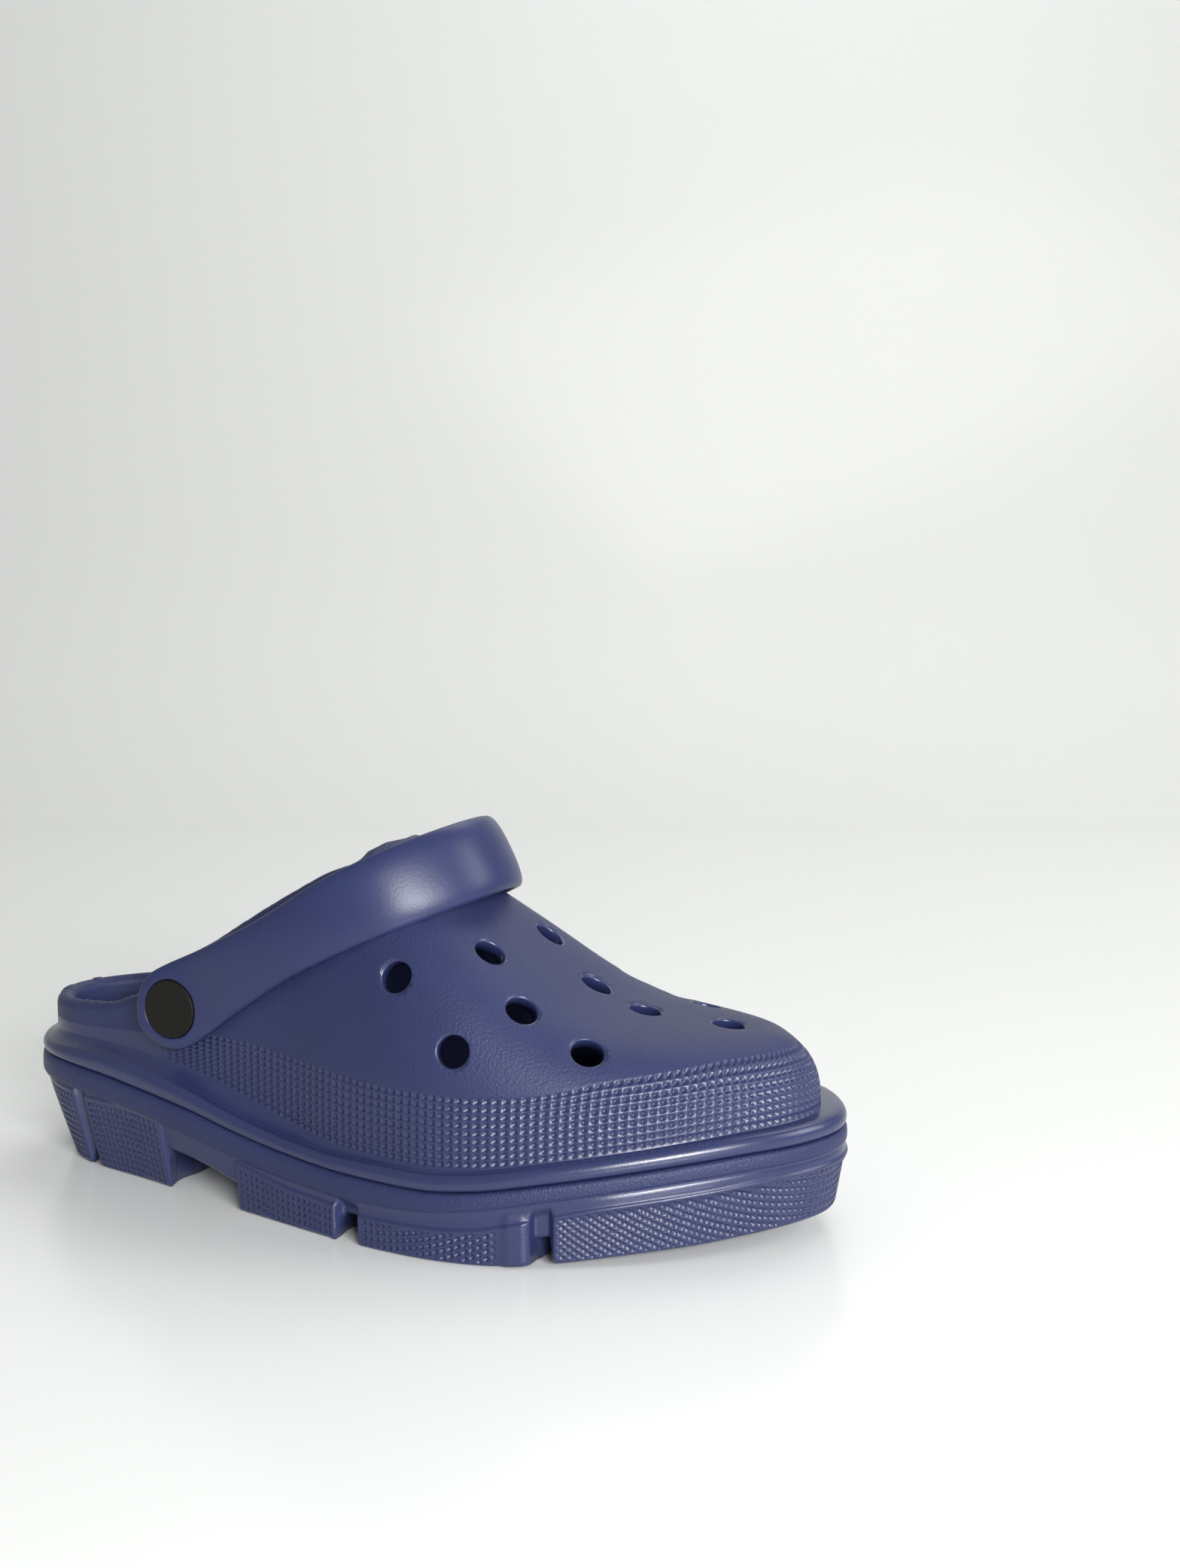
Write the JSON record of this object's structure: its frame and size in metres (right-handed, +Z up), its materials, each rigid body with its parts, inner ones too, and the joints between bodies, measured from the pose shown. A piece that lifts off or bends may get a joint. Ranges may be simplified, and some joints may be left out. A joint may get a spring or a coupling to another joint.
{
  "type": "garden clog",
  "caption": "Right garden clog of moulded foam: closed toe with round vents, lugged platform sole and a heel strap that swings on rivets.",
  "frame": {"origin": "on the ground under the middle of the whole clog's box", "axes": "+X towards the toe, +Y towards the wearer's left, which is the inner side of this right clog, +Z up"},
  "size_m": [0.2955, 0.1225, 0.1318],
  "materials": {
    "upper_foam": "navy foam, matte with fine grain",
    "sole_foam": "navy foam, matte with moulded lattice",
    "strap_foam": "navy foam, smooth satin",
    "rivet_plastic": "black, matte"
  },
  "bodies": {
    "shoe": {"upper_shell": "upper_foam", "outsole": "sole_foam", "rivet_cap_outer_side": "rivet_plastic", "rivet_cap_inner_side": "rivet_plastic", "rivet_post_outer_side": "rivet_plastic", "rivet_post_inner_side": "rivet_plastic"},
    "strap": {"heel_strap": "strap_foam"}
  },
  "joints": [
    {"name": "strap_swing", "type": "hinge", "parent": "shoe", "child": "strap", "pos_m": [-0.0648, -0.0052, 0.064], "axis": [0, -1, 0], "range_deg": [0, 155]}
  ]
}
